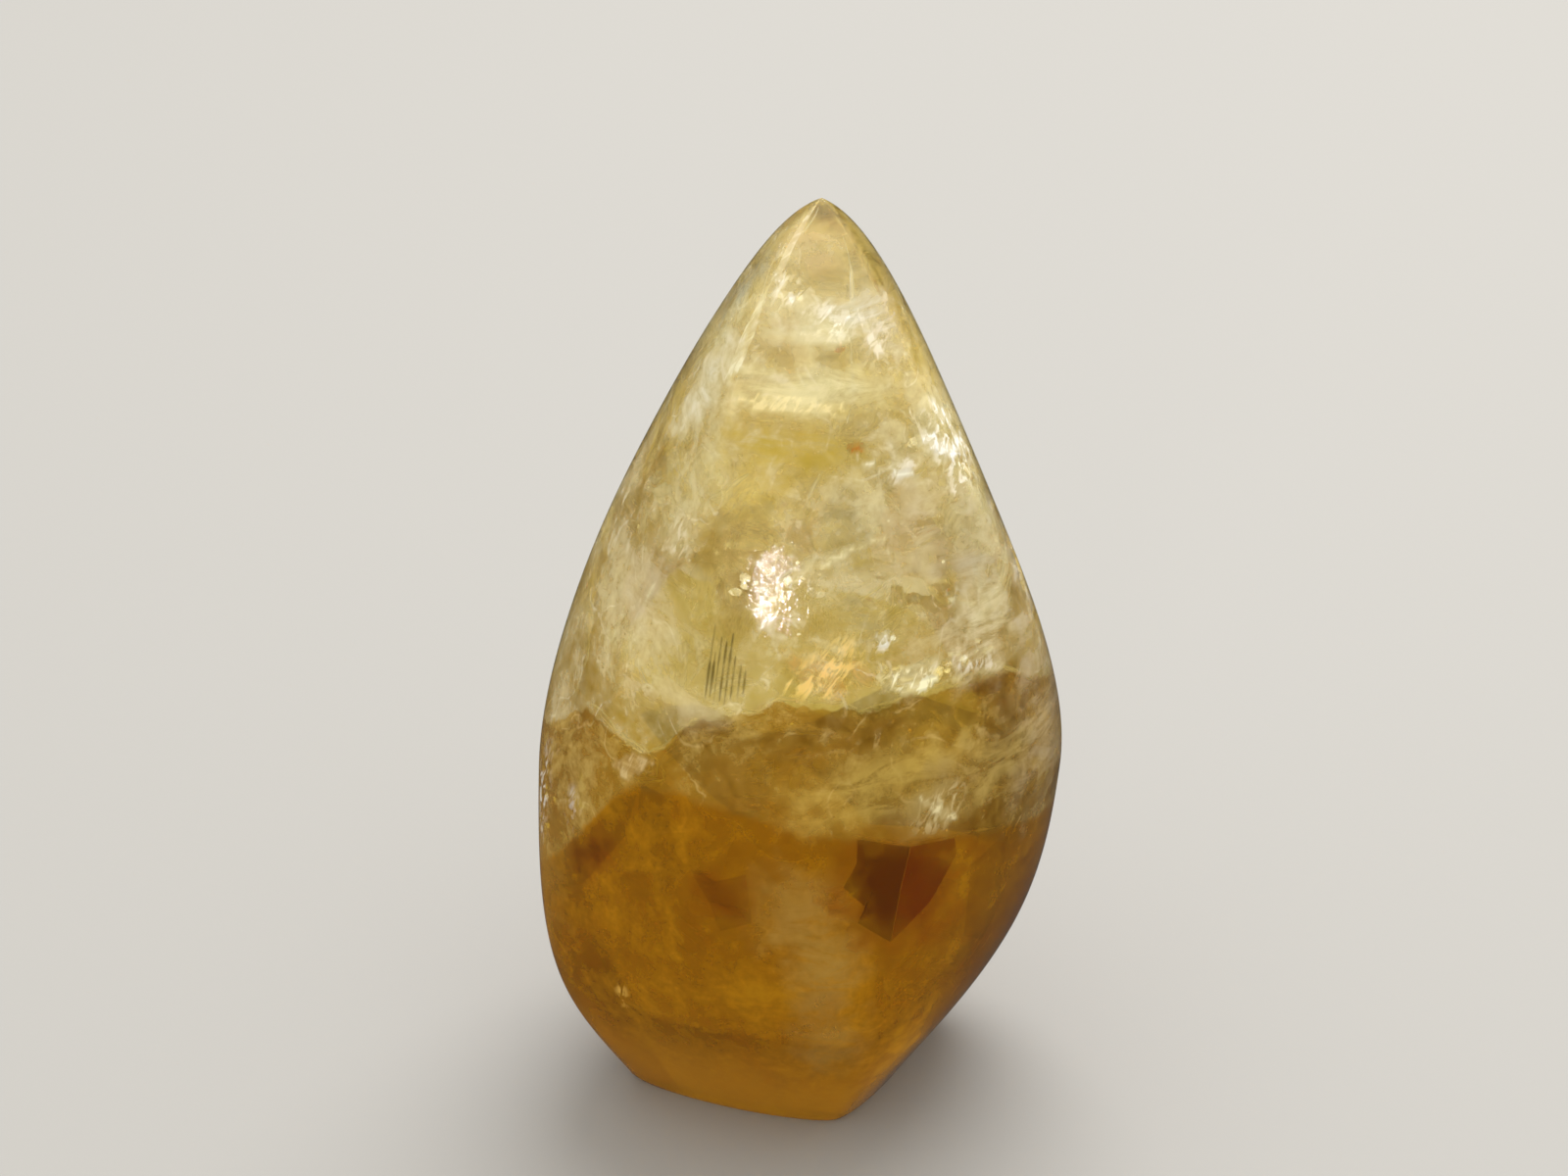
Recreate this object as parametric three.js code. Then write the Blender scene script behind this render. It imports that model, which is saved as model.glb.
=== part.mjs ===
// A polished citrine crystal: one piece of golden quartz, ground into a four-cornered flame
// that turns as it rises, with a sawn flat base and a bluntly pointed tip.
// Millimetres, +Z up, the viewer's side is -Y, and the origin is the middle of the base.
import * as THREE from "three";

const { degToRad, lerp, smoothstep } = THREE.MathUtils;

// Driving dimensions. A reach is the distance from the axis to a corner of the section.
const HEIGHT = 56;
const BASE_REACH = 9.4;
const BELLY_REACH = 14.7;
const BELLY_HEIGHT = 20;
const RIM_BEVEL = 0.4;

// How the side leaves the base, rounds the belly and closes at the tip. A pull is the length
// of a curve's handle there, and an angle is in degrees from the axis.
const BASE_FLARE = 35;
const BASE_PULL = 8.5;
const BELLY_PULL_DOWN = 11.5;
const BELLY_PULL_UP = 8.5;
const TIP_HALF_ANGLE = 60;
const TIP_PULL = 9.3;

// The section is a superellipse: roundness 2 is an ellipse, and 1 is a flat-sided diamond.
const BASE_ROUNDNESS = 1.25;
const BELLY_ROUNDNESS = 1.68;
const TIP_ROUNDNESS = 1.3;

// How far each side of a corner its rounding reaches, as a share of the section's reach.
const BODY_CORNER_ROUNDING = 0.25;
const TIP_CORNER_ROUNDING = 0.05;

// Reach of the front and back corners against the mean. The side corners have the inverse.
const FRONT_BACK_STRETCH = 0.96;

// The front corner's place round the axis, in degrees from the viewer towards +X.
const TURN_AT_BASE = 22;
const TURN_AT_TIP = -47;

// How far the axis leans at the tip, and bows out sideways at half height.
const TIP_LEAN = new THREE.Vector2(2.2, -1.0);
const SIDEWAYS_BOW = 0.86;

// Fineness of the facets: steps round a section, and up each of the two side curves.
const STEPS_ROUND = 64;
const STEPS_UP = 23;

// Half outline in (reach, height), from the middle of the base round to the tip.
function halfOutline() {
  const flare = degToRad(BASE_FLARE);
  const tip = degToRad(TIP_HALF_ANGLE);
  const side = new THREE.Path();
  side.moveTo(BASE_REACH, RIM_BEVEL);
  side.bezierCurveTo(
    BASE_REACH + BASE_PULL * Math.sin(flare),
    RIM_BEVEL + BASE_PULL * Math.cos(flare),
    BELLY_REACH,
    BELLY_HEIGHT - BELLY_PULL_DOWN,
    BELLY_REACH,
    BELLY_HEIGHT,
  );
  side.bezierCurveTo(
    BELLY_REACH,
    BELLY_HEIGHT + BELLY_PULL_UP,
    TIP_PULL * Math.sin(tip),
    HEIGHT - TIP_PULL * Math.cos(tip),
    0,
    HEIGHT,
  );
  const middle = new THREE.Vector2(0, 0);
  const rim = new THREE.Vector2(BASE_REACH - RIM_BEVEL, 0);
  return [middle, rim, ...side.getPoints(STEPS_UP)];
}

// Roundness of the section at a height, eased from the base to the belly and on to the tip.
function roundnessAt(z) {
  return z < BELLY_HEIGHT
    ? lerp(BASE_ROUNDNESS, BELLY_ROUNDNESS, smoothstep(z, 0, BELLY_HEIGHT))
    : lerp(BELLY_ROUNDNESS, TIP_ROUNDNESS, smoothstep(z, BELLY_HEIGHT, HEIGHT));
}

// Corner rounding at a height: soft on the body, and crisp towards the tip.
function cornerRoundingAt(z) {
  const eased = smoothstep(z, BELLY_HEIGHT, HEIGHT);
  return lerp(BODY_CORNER_ROUNDING, TIP_CORNER_ROUNDING, eased);
}

// Angle of the front corner at a height, eased so that the turn is quickest at half height.
function turnAt(z) {
  return degToRad(lerp(TURN_AT_BASE, TURN_AT_TIP, smoothstep(z, 0, HEIGHT)));
}

// Where the axis stands at a height.
function axisAt(z) {
  const rise = z / HEIGHT;
  const bow = new THREE.Vector2(4 * SIDEWAYS_BOW * rise * (1 - rise), 0);
  return TIP_LEAN.clone().multiplyScalar(rise * rise).add(bow);
}

// The share of the reach that a cosine or sine stands for on a superellipse with rounded corners.
function shareOfReach(wave, z) {
  const rounding = cornerRoundingAt(z) ** 2;
  const power = 1 / roundnessAt(z) - 1 / 2;
  return wave * ((wave * wave + rounding) / (1 + rounding)) ** power;
}

// Turns a round lathe blank into the flame: each section is squared up, twisted and moved.
function carve(blank) {
  const centre = new THREE.Vector2();
  const points = blank.getAttribute("position");
  for (let i = 0; i < points.count; i++) {
    const z = points.getZ(i);
    const reach = Math.hypot(points.getX(i), points.getY(i));
    const angle = Math.atan2(points.getX(i), -points.getY(i));
    const place = new THREE.Vector2(
      (reach * shareOfReach(Math.sin(angle), z)) / FRONT_BACK_STRETCH,
      -reach * shareOfReach(Math.cos(angle), z) * FRONT_BACK_STRETCH,
    );
    place.rotateAround(centre, turnAt(z)).add(axisAt(z));
    points.setXY(i, place.x, place.y);
  }
  blank.computeVertexNormals();
  return blank;
}

const citrine = new THREE.MeshStandardMaterial({
  color: new THREE.Color(0.8, 0.6, 0.25),
  roughness: 0.08,
  metalness: 0,
});

const blank = new THREE.LatheGeometry(halfOutline(), STEPS_ROUND);
blank.rotateX(Math.PI / 2);

const crystal = new THREE.Mesh(carve(blank), citrine);
crystal.name = "crystal";

const specimen = new THREE.Group();
specimen.add(crystal);

export default specimen;
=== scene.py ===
import math

import bmesh
import bpy
import numpy as np
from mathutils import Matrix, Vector, noise
from mathutils.bvhtree import BVHTree


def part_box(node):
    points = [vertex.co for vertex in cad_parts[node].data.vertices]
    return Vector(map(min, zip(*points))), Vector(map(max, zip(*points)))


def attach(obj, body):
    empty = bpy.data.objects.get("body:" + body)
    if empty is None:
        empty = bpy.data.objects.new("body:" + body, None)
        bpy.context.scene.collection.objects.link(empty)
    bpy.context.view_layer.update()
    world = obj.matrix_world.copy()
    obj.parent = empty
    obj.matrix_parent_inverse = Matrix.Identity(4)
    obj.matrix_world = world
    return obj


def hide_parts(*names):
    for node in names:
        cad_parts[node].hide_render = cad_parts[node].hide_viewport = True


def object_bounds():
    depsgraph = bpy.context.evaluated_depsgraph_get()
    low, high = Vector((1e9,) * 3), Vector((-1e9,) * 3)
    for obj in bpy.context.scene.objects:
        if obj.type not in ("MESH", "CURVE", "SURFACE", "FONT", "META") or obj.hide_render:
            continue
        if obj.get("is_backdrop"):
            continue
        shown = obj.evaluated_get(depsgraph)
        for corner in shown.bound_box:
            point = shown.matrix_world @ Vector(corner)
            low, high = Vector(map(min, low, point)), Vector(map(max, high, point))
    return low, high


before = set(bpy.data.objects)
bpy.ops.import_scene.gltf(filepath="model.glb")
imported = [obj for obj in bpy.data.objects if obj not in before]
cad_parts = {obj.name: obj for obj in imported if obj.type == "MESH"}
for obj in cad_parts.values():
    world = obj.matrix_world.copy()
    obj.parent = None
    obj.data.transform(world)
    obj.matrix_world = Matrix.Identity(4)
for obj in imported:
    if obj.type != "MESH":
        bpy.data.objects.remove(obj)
cad_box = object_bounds()

# Crystal: one piece of golden quartz, ground on a wheel into a four-cornered flame that turns as it
# rises, then polished all over. It stands on its own sawn base, and nothing holds it. A reach is the
# distance from the axis to a corner of the section.
MM = 0.001
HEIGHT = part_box("crystal")[1].z
BASE_REACH = 9.4 * MM
BELLY_REACH = 14.7 * MM
BELLY_HEIGHT = 20 * MM
RIM_BEVEL = 0.4 * MM
BASE_FLARE = math.radians(35)
BASE_PULL = 8.5 * MM
BELLY_PULL_DOWN = 11.5 * MM
BELLY_PULL_UP = 8.5 * MM
TIP_HALF_ANGLE = math.radians(60)
TIP_PULL = 9.3 * MM
BASE_ROUNDNESS, BELLY_ROUNDNESS, TIP_ROUNDNESS = 1.25, 1.68, 1.3
BODY_CORNER_ROUNDING, TIP_CORNER_ROUNDING = 0.25, 0.05
FRONT_BACK_STRETCH = 0.96
TURN_AT_BASE, TURN_AT_TIP = math.radians(22), math.radians(-47)
TIP_LEAN = (2.2 * MM, -1.0 * MM)
SIDEWAYS_BOW = 0.86 * MM
RINGS_PER_CURVE = 120
STEPS_ROUND = 320


def eased(value, low, high):
    """0 below low and 1 above high, eased between them."""
    share = np.clip((value - low) / (high - low), 0, 1)
    return share * share * (3 - 2 * share)


def bezier(start, start_pull, end_pull, end, steps):
    """Points along a curve that leaves its start and meets its end towards the two pulls."""
    t = np.linspace(0, 1, steps)[:, None]
    pulls = 3 * (1 - t) ** 2 * t * np.array(start_pull) + 3 * (1 - t) * t**2 * np.array(end_pull)
    return (1 - t) ** 3 * np.array(start) + pulls + t**3 * np.array(end)


def side_outline():
    """Reach and height of each ring, from the rim of the base up to just under the tip."""
    flare_end = (
        BASE_REACH + BASE_PULL * math.sin(BASE_FLARE),
        RIM_BEVEL + BASE_PULL * math.cos(BASE_FLARE),
    )
    tip_end = (
        TIP_PULL * math.sin(TIP_HALF_ANGLE),
        HEIGHT - TIP_PULL * math.cos(TIP_HALF_ANGLE),
    )
    belly = (BELLY_REACH, BELLY_HEIGHT)
    below_belly = (BELLY_REACH, BELLY_HEIGHT - BELLY_PULL_DOWN)
    above_belly = (BELLY_REACH, BELLY_HEIGHT + BELLY_PULL_UP)
    lower = bezier((BASE_REACH, RIM_BEVEL), flare_end, below_belly, belly, RINGS_PER_CURVE)
    upper = bezier(belly, above_belly, tip_end, (0, HEIGHT), RINGS_PER_CURVE)
    rim = [[BASE_REACH - RIM_BEVEL, 0]]
    return np.vstack([rim, lower, upper[1:-1]])


def axis_at(z):
    """Where the middle of the section lies at a height: it bows sideways and leans to the tip."""
    rise = z / HEIGHT
    bow = 4 * SIDEWAYS_BOW * rise * (1 - rise)
    return np.stack([TIP_LEAN[0] * rise**2 + bow, TIP_LEAN[1] * rise**2], axis=-1)


def carved(reach, angle, z):
    """A point of a round section, squared up, turned and moved as the grinding left it."""
    above = eased(z, BELLY_HEIGHT, HEIGHT)
    from_base = BASE_ROUNDNESS + (BELLY_ROUNDNESS - BASE_ROUNDNESS) * eased(z, 0, BELLY_HEIGHT)
    roundness = from_base + (TIP_ROUNDNESS - BELLY_ROUNDNESS) * above
    rounding = (BODY_CORNER_ROUNDING + (TIP_CORNER_ROUNDING - BODY_CORNER_ROUNDING) * above) ** 2
    power = 1 / roundness - 1 / 2
    turn = TURN_AT_BASE + (TURN_AT_TIP - TURN_AT_BASE) * eased(z, 0, HEIGHT)

    def share(wave):
        return wave * ((wave**2 + rounding) / (1 + rounding)) ** power

    across = reach * share(np.sin(angle)) / FRONT_BACK_STRETCH
    along = -reach * share(np.cos(angle)) * FRONT_BACK_STRETCH
    centre = axis_at(z)
    x = across * np.cos(turn) - along * np.sin(turn) + centre[..., 0]
    y = across * np.sin(turn) + along * np.cos(turn) + centre[..., 1]
    return np.stack([x, y, z + 0 * x], axis=-1)


def outward(turn):
    """The level direction that leaves the axis at an angle from the viewer, towards +X, in degrees."""
    return Vector((math.sin(math.radians(turn)), -math.cos(math.radians(turn)), 0))


def middle_at(z):
    """The middle of the section at a height, as a point."""
    return Vector((*axis_at(z), z))


def flame_mesh(name):
    """The ground shape: rings from the base up, closed by the base and by the tip."""
    outline = side_outline()
    angles = np.linspace(0, 2 * math.pi, STEPS_ROUND, endpoint=False)
    rings = carved(outline[:, :1], angles[None, :], outline[:, 1:])
    tip = [*axis_at(HEIGHT), HEIGHT]
    points = np.vstack([rings.reshape(-1, 3), [[0, 0, 0]], [tip]])
    base_middle, tip_point = len(points) - 2, len(points) - 1
    last = (len(outline) - 1) * STEPS_ROUND
    faces = []
    for step in range(STEPS_ROUND):
        following = (step + 1) % STEPS_ROUND
        faces.append((base_middle, following, step))
        faces.append((tip_point, last + step, last + following))
        for ring in range(0, last, STEPS_ROUND):
            above = ring + STEPS_ROUND
            faces.append((ring + step, ring + following, above + following, above + step))
    mesh = bpy.data.meshes.new(name)
    mesh.from_pydata(points, [], faces)
    return mesh


# Hand polishing leaves long shallow waves, and a scuff on the front is scratched up to the right.
WAVE_LENGTH = 7 * MM
WAVE_DEPTH = 0.05 * MM
SCUFF_MIDDLE = Vector((0.0, -10.4 * MM, 36.9 * MM))
SCUFF_REACH = 3.5 * MM
SCRATCH_DEPTH = 0.01 * MM
SCRATCH_WIDTH = 0.45 * MM
SCRATCH_LENGTH = 2.5 * MM
SCRATCH_LEAN = math.radians(40)
SHARP_EDGE = math.radians(30)

# Grains broke out in clusters of small pits, mostly along the right-hand edge: turn in degrees, height
# and spread in millimetres, and the number of pits.
PIT_CLUSTERS = [
    (74, 35, 2.2, 12), (63, 41, 1.0, 3), (-79, 20, 1.6, 4), (165, 27, 2.0, 6), (-140, 40, 1.5, 4),
]
PIT_TURN_SPREAD = 3
PIT_RADIUS = (0.2 * MM, 0.7 * MM)
PIT_DEPTH_SHARE = 0.4


def wall_tree(mesh):
    """A search tree of the mesh's faces, which finds the surface along a ray."""
    points = [vertex.co for vertex in mesh.vertices]
    return BVHTree.FromPolygons(points, [face.vertices for face in mesh.polygons])


def pits(walls):
    """Middle, radius and depth of every pit."""
    draw = np.random.default_rng(11)
    found = []
    for turn, height, spread, count in PIT_CLUSTERS:
        for _ in range(count):
            middle = middle_at((height + draw.normal(0, spread)) * MM)
            surface = walls.ray_cast(middle, outward(turn + draw.normal(0, PIT_TURN_SPREAD)))[0]
            radius = draw.uniform(*PIT_RADIUS)
            found.append((surface, radius, radius * PIT_DEPTH_SHARE))
    return found


def scratch_share(place):
    """How deep the scratches of the scuff are at a place, from 0 to 1. They run up to the right."""
    worn = max(0, 1 - ((place - SCUFF_MIDDLE).length / SCUFF_REACH) ** 2)
    across = place.x * math.cos(SCRATCH_LEAN) - place.z * math.sin(SCRATCH_LEAN)
    along = place.x * math.sin(SCRATCH_LEAN) + place.z * math.cos(SCRATCH_LEAN)
    return worn * abs(noise.noise(Vector((across / SCRATCH_WIDTH, along / SCRATCH_LENGTH, 0))))


def weathered(mesh):
    """Adds the polishing waves, the scratches and the pits, all of them inwards."""
    dents = pits(wall_tree(mesh))
    inwards = [-normal.vector for normal in mesh.vertex_normals]
    for vertex, inward in zip(mesh.vertices, inwards):
        place = vertex.co.copy()
        if place.z < RIM_BEVEL:
            continue
        depth = WAVE_DEPTH * (0.5 + 0.5 * noise.noise(place / WAVE_LENGTH))
        depth += SCRATCH_DEPTH * scratch_share(place)
        for dent, radius, dent_depth in dents:
            near = (place - dent).length / radius
            if near < 1:
                depth += dent_depth * (1 - near * near) ** 2
        vertex.co = place + inward * depth
    mesh.shade_smooth()
    mesh.set_sharp_from_angle(angle=SHARP_EDGE)
    return mesh


class Wire:
    """One output of a shader node. Arithmetic on wires adds Math nodes to the same material."""

    def __init__(self, tree, socket=None):
        self.tree = tree
        self.socket = socket

    def node(self, kind, settings=None, sockets=None, output=0):
        """Adds a node, sets it up, fills or links its sockets, and gives one of its outputs."""
        node = self.tree.nodes.new(kind)
        for name, value in (settings or {}).items():
            if name == "stops":
                ramp = node.color_ramp.elements
                while len(ramp) < len(value):
                    ramp.new(1)
                for stop, (place, colour) in zip(ramp, value):
                    stop.position = place
                    stop.color = (*colour, 1)
            elif name == "points":
                curve = node.mapping.curves[0].points
                while len(curve) < len(value):
                    curve.new(1, 1)
                for point, place in zip(curve, value):
                    point.location = place
                    point.handle_type = "VECTOR"
                node.mapping.update()
            else:
                setattr(node, name, value)
        for name, value in (sockets or {}).items():
            if isinstance(value, Wire):
                self.tree.links.new(value.socket, node.inputs[name])
            else:
                node.inputs[name].default_value = value
        return Wire(self.tree, node.outputs[output] if node.outputs else None)

    def ramp(self, stops):
        """A colour that runs through the stops as the value rises."""
        return self.node("ShaderNodeValToRGB", {"stops": stops}, {"Fac": self}, "Color")

    def kept(self, name, output):
        """A value that the mesh keeps for each vertex."""
        return self.node("ShaderNodeAttribute", {"attribute_name": name}, output=output)

    def math(self, operation, first, second):
        """A Math node on two values."""
        return self.node("ShaderNodeMath", {"operation": operation}, {0: first, 1: second})

    def __add__(self, other):
        return self.math("ADD", self, other)

    def __sub__(self, other):
        return self.math("SUBTRACT", self, other)

    def __rsub__(self, other):
        return self.math("SUBTRACT", other, self)

    def __mul__(self, other):
        return self.math("MULTIPLY", self, other)

    def __abs__(self):
        return self.math("ABSOLUTE", self, 0)

    __radd__ = __add__
    __rmul__ = __mul__


def eased_wire(wire, low, high):
    """0 below low and 1 above high, eased between them."""
    sockets = {"Value": wire, "From Min": low, "From Max": high}
    return wire.node("ShaderNodeMapRange", {"interpolation_type": "SMOOTHSTEP"}, sockets)


def mixed(share, first, second):
    """A colour between two, by a share. Either may be a wire or a plain colour."""
    ends = [end if isinstance(end, Wire) else (*end, 1) for end in (first, second)]
    sockets = {"Factor": share, "A": ends[0], "B": ends[1]}
    return share.node("ShaderNodeMix", {"data_type": "RGBA"}, sockets, output="Result")


def cloud(place, size, detail=4.0, roughness=0.55, distortion=0.0):
    """Soft noise from 0 to 1, with lumps of about the given size in metres."""
    sockets = {
        "Vector": place,
        "Scale": 1 / size,
        "Detail": detail,
        "Roughness": roughness,
        "Distortion": distortion,
    }
    return place.node("ShaderNodeTexNoise", {}, sockets, output="Fac")


def stretched(place, size, lean=0.0):
    """The place counted in steps of a size along each axis, after a lean to the right."""
    sockets = {"Vector": place, "Rotation": (0, lean, 0), "Scale": size}
    return place.node("ShaderNodeMapping", {"vector_type": "TEXTURE"}, sockets)


def new_material(name):
    """A material with no nodes yet, and a wire to add them from."""
    material = bpy.data.materials.new(name)
    material.use_nodes = True
    material.node_tree.nodes.clear()
    return material, Wire(material.node_tree)


crystal_mesh = weathered(flame_mesh("polished_crystal"))
walls = wall_tree(crystal_mesh)


def inside(turn, height, share):
    """The point at a height in millimetres, a share of the way from the axis to the surface."""
    middle = middle_at(height * MM)
    surface = walls.ray_cast(middle, outward(turn))[0]
    return middle.lerp(surface, share)


# Two cracks part the quartz into a pale top, a tan band and an amber foot. Their lines on the front, in
# millimetres across and up, run from the left to the right, and both dip towards the back.
UPPER_LINE = [
    (-13.5, 23.5), (-11.1, 26.4), (-9.5, 26.1), (-7.8, 25.8), (-6.8, 26.5), (-5.6, 28.2), (-4.3, 29.4),
    (-1.4, 30.3), (-0.2, 31.0), (3.4, 30.3), (4.5, 29.9), (6.9, 30.3), (9.6, 30.4), (12.8, 29.9),
    (14.6, 28.3),
]
LOWER_LINE = [
    (-13.8, 15.4), (-9.4, 22.9), (-7.9, 24.1), (-5.7, 24.5), (-2.2, 24.3), (1.4, 23.5),
    (4.1, 22.8), (10.1, 21.0), (13.0, 20.1), (15.0, 18.8),
]
LINE_REACH = 16.0
LINE_TOP = 40.0
DIP_TO_BACK = 0.35
QUARTZ_IOR = 1.54
RAGGED_GRAIN = 1.6 * MM
RAGGED_EDGE = 0.4
OVAL_DEPTH = 3 * MM
OVAL_RIM = 1.15

# Colours of the quartz: first as light shines through it, then as its milkiness sends light back.
PALE, TAN, AMBER = (0.98, 0.91, 0.60), (0.70, 0.45, 0.03), (0.60, 0.25, 0.0003)
DEEP_AMBER = (0.46, 0.17, 0.0002)
PALE_MILK = (0.85, 0.68, 0.24)
DARK_TAN_MILK = (0.27, 0.15, 0.015)
TAN_MILK = (0.42, 0.245, 0.035)
LIGHT_TAN_MILK = (0.60, 0.42, 0.11)
DARK_AMBER_MILK = (0.27, 0.115, 0.003)
AMBER_MILK = (0.34, 0.152, 0.004)
LIGHT_AMBER_MILK = (0.44, 0.205, 0.006)
WHITE = (0.97, 0.94, 0.84)
CREAM = (0.96, 0.82, 0.41)
STRAW = (0.85, 0.65, 0.15)
OLIVE = (0.60, 0.44, 0.05)
BUFF = (0.48, 0.29, 0.06)
GLOW = (0.80, 0.36, 0.010)
RUSSET = (0.32, 0.115, 0.003)
UMBER = (0.18, 0.065, 0.002)
# The milk colour of the foot is a painted glow.
FOOT_GLOW_MILK = (0.60, 0.26, 0.002)
RUST = (0.42, 0.12, 0.008)
PALE_VEIN = (0.78, 0.62, 0.28)
GOLD_VEIN = (0.66, 0.36, 0.03)


def line_height(across, line):
    """Height in millimetres of a crack line, at a place across in millimetres."""
    points = [((x + LINE_REACH) / (2 * LINE_REACH), z / LINE_TOP) for x, z in line]
    share = (across + LINE_REACH) * (1 / (2 * LINE_REACH))
    return share.node("ShaderNodeFloatCurve", {"points": points}, {"Value": share}) * LINE_TOP


def oval_masks(mesh, ovals, firm_share):
    """For each oval at the surface, 1 at the vertices in its middle, fading to 0 at its ragged edge."""
    points = np.array([vertex.co for vertex in mesh.vertices])
    ragged = np.array([noise.fractal(vertex.co / RAGGED_GRAIN, 0.7, 2.0, 3) for vertex in mesh.vertices])
    for turn, height, width, length, roll, *_ in ovals:
        away = outward(turn)
        level, slant = outward(turn + 90), math.radians(roll)
        across = level * math.cos(slant) - Vector((0, 0, math.sin(slant)))
        along = level * math.sin(slant) + Vector((0, 0, math.cos(slant)))
        offset = points - inside(turn, height, 1)
        distance = np.sqrt(
            (offset @ across / (width / 2 * MM)) ** 2
            + (offset @ along / (length / 2 * MM)) ** 2
            + (offset @ away / OVAL_DEPTH) ** 2
        )
        yield 1 - eased(distance + RAGGED_EDGE * ragged, firm_share, OVAL_RIM)


def paint(mesh, name, colours, shares):
    """Keeps a colour and a share of it for each vertex."""
    layer = mesh.color_attributes.new(name, "FLOAT_COLOR", "POINT")
    layer.data.foreach_set("color", np.column_stack([colours, shares]).ravel())


# Stains at the surface, with painted light and shade among them where marked: turn and height of the middle,
# width, length and roll, then the colour of light through it, the colour of its milkiness, and how milky it
# is. Lengths are in millimetres.
STAINS_AND_PAINTED_LIGHT = [
    # Painted reflection and haze: these three rows paint the pale wisp along the rounded front ridge in buff
    # milk.
    (0, 18.6, 8.0, 6.5, 0, (0.62, 0.36, 0.01), BUFF, 0.44),
    (7, 15.0, 6.0, 10, -4, (0.62, 0.36, 0.01), BUFF, 0.5),
    (9, 9.4, 5.5, 9, -8, (0.60, 0.32, 0.004), BUFF, 0.36),
    # Painted shade: these two rows leave the window clear and deep, where the dark surroundings show
    # through.
    (27, 19.0, 12.0, 10.0, 20, (0.58, 0.21, 0.0003), RUSSET, 0.0),
    (20, 19.8, 6.5, 7.0, 0, (0.54, 0.19, 0.0003), RUSSET, 0.0),
    (-19, 18.8, 5.0, 4.4, 0, (0.42, 0.13, 0.0003), RUSSET, 0.06),
    (-56, 18.5, 3.5, 8.0, 40, (0.46, 0.17, 0.0003), RUSSET, 0.14),
    # Painted glow: the foot shines orange here with the light that comes in low.
    (34, 6.0, 7.0, 8.0, -20, GLOW, (0.74, 0.34, 0.004), 0.7),
    (-75, 14.5, 7.0, 10.0, 0, (0.62, 0.30, 0.003), (0.46, 0.25, 0.03), 0.5),
    # Painted reflection: a pale strip along the right edge.
    (70, 25.0, 9.0, 12.0, 0, (0.85, 0.68, 0.30), (0.66, 0.52, 0.28), 0.6),
    (56, 37.5, 8.0, 10.0, 0, PALE, (0.92, 0.82, 0.54), 0.45),
    (-57, 34.2, 7.5, 9.0, 0, PALE, (0.93, 0.80, 0.48), 0.45),
    (-33, 30.0, 7.5, 3.4, 0, PALE, (0.92, 0.76, 0.40), 0.45),
    (50, 32.8, 11.0, 7.0, 0, PALE, (0.96, 0.84, 0.50), 0.62),
    (38, 39.5, 7.0, 9.0, 0, PALE, (0.93, 0.80, 0.48), 0.45),
    (14, 47.2, 5.5, 2.8, 0, PALE, (0.97, 0.87, 0.48), 0.5),
    (20, 50.8, 5.5, 3.4, 0, PALE, (0.97, 0.89, 0.60), 0.5),
    (41, 50.7, 4.4, 4.4, 0, PALE, (0.96, 0.90, 0.72), 0.45),
    (20, 25.7, 15.0, 5.0, -12, (0.80, 0.58, 0.10), (0.65, 0.455, 0.10), 0.6),
    (48, 24.6, 11.0, 5.4, -8, (0.80, 0.58, 0.12), (0.65, 0.47, 0.13), 0.6),
    (66, 29.5, 3.0, 6.0, 0, PALE, (0.80, 0.66, 0.38), 0.5),
    (72, 34.5, 6.0, 10.0, 0, PALE, (0.90, 0.80, 0.55), 0.45),
    (-12, 44.2, 11.0, 4.8, 0, (0.78, 0.60, 0.12), (0.50, 0.355, 0.03), 0.66),
    (-27, 41.5, 6.5, 3.0, 20, (0.95, 0.80, 0.25), STRAW, 0.35),
    (-12, 47.0, 11.0, 3.8, 0, PALE, (0.96, 0.84, 0.42), 0.6),
    (-5, 49.8, 6.5, 2.2, 0, PALE, (0.96, 0.86, 0.48), 0.5),
    # Painted shade: the left facet by the tip is greyer.
    (-84, 51.0, 3.0, 8.0, 25, (0.80, 0.78, 0.55), (0.60, 0.56, 0.36), 0.35),
    (-23, 32.8, 4.5, 5.5, 0, PALE, STRAW, 0.12),
    # Painted shadow: a grey patch beside the highlight.
    (15, 35.2, 4.8, 2.0, 45, (0.70, 0.62, 0.38), (0.42, 0.36, 0.18), 0.55),
    (-68, 45.6, 4.4, 13.0, 22, PALE, (0.96, 0.90, 0.66), 0.6),
    (-10, 54.0, 5.0, 4.0, 0, (0.93, 0.76, 0.38), (0.74, 0.56, 0.24), 0.4),
    (33, 24.0, 7.5, 4.2, -25, (0.80, 0.62, 0.22), (0.58, 0.42, 0.14), 0.42),
    # Painted reflection: the pale strip along the right edge, further round.
    (80, 26.0, 3.0, 13.0, 0, (0.85, 0.68, 0.30), (0.60, 0.46, 0.24), 0.42),
]
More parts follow.
